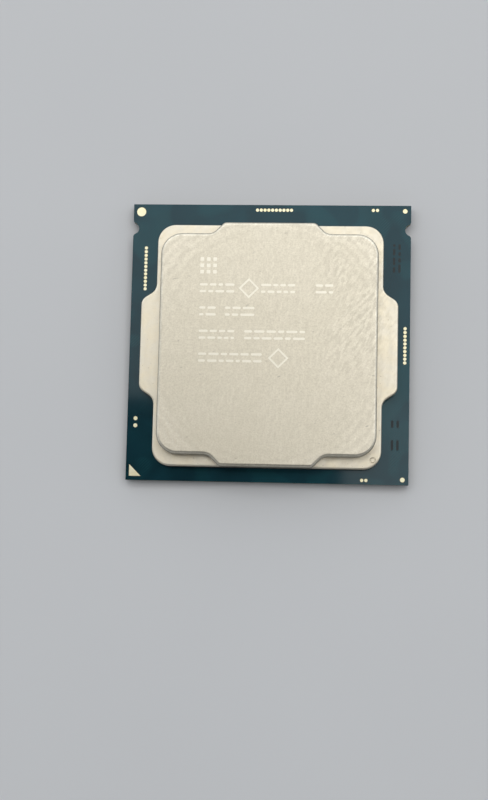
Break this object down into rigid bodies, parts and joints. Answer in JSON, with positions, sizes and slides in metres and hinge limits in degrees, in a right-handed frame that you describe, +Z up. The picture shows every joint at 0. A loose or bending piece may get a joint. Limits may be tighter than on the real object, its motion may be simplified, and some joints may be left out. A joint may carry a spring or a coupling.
{
  "type": "cpu processor",
  "caption": "Square desktop processor: metal lid with side ears over a dark laminate with gold test pads, key notches and a field of gold contact lands beneath.",
  "frame": {"origin": "centre of the square package outline, at the level of the outer faces of the capacitors underneath, on which the part lies", "axes": "+Z up, out of the metal lid; +Y towards the edge nearest the two key notches; +X to the right seen from above, so the first-contact triangle is in the -X, -Y corner"},
  "size_m": [0.0376, 0.0376, 0.0049],
  "materials": {
    "lid_nickel": "nickel plate, finely buffed, satin",
    "sealant_black": "cured silicone, satin",
    "solder_mask_upper": "deep blue-green solder mask, glossy",
    "solder_mask_lower": "deep blue-green solder mask, satin gloss",
    "laminate_resin": "sawn build-up resin, olive, matt",
    "laminate_core": "sawn glass-fibre core, straw, matt",
    "copper": "bare copper foil",
    "gold_marks": "gold plate, satin",
    "gold_lands": "hard gold plate, satin, lightly scuffed",
    "capacitor_ceramic": "fired ceramic, tan-brown, satin",
    "capacitor_tin": "tin plate, dull silver",
    "solder": "reflowed solder, bright satin",
    "silicon": "polished silicon, dark grey",
    "underfill_resin": "cured epoxy, near black",
    "thermal_paste": "grey heat-conducting paste"
  },
  "bodies": {
    "root": {"heat_spreader_lid": "lid_nickel", "lid_adhesive": "sealant_black", "thermal_paste": "thermal_paste", "silicon_die": "silicon", "die_solder_bumps": "solder", "die_underfill": "underfill_resin", "upper_solder_mask": "solder_mask_upper", "upper_outer_film": "laminate_resin", "upper_copper_plane": "copper", "upper_inner_film": "laminate_resin", "substrate_core": "laminate_core", "core_plated_holes": "copper", "lower_inner_film": "laminate_resin", "lower_copper_plane": "copper", "lower_outer_film": "laminate_resin", "lower_solder_mask": "solder_mask_lower", "contact_lands": "gold_lands", "corner_fiducial_large": "gold_marks", "corner_fiducials_small": "gold_marks", "first_contact_triangle": "gold_marks", "test_pads_back_row": "gold_marks", "test_pads_left_row": "gold_marks", "test_pads_right_row": "gold_marks", "test_pad_close_pairs": "gold_marks", "test_pad_wide_pair": "gold_marks", "die_side_test_points": "gold_marks", "capacitor_bodies": "capacitor_ceramic", "capacitor_terminals": "capacitor_tin", "capacitor_solder_joints": "solder", "capacitor_pads": "gold_marks", "lower_test_points": "gold_marks"}
  },
  "joints": []
}
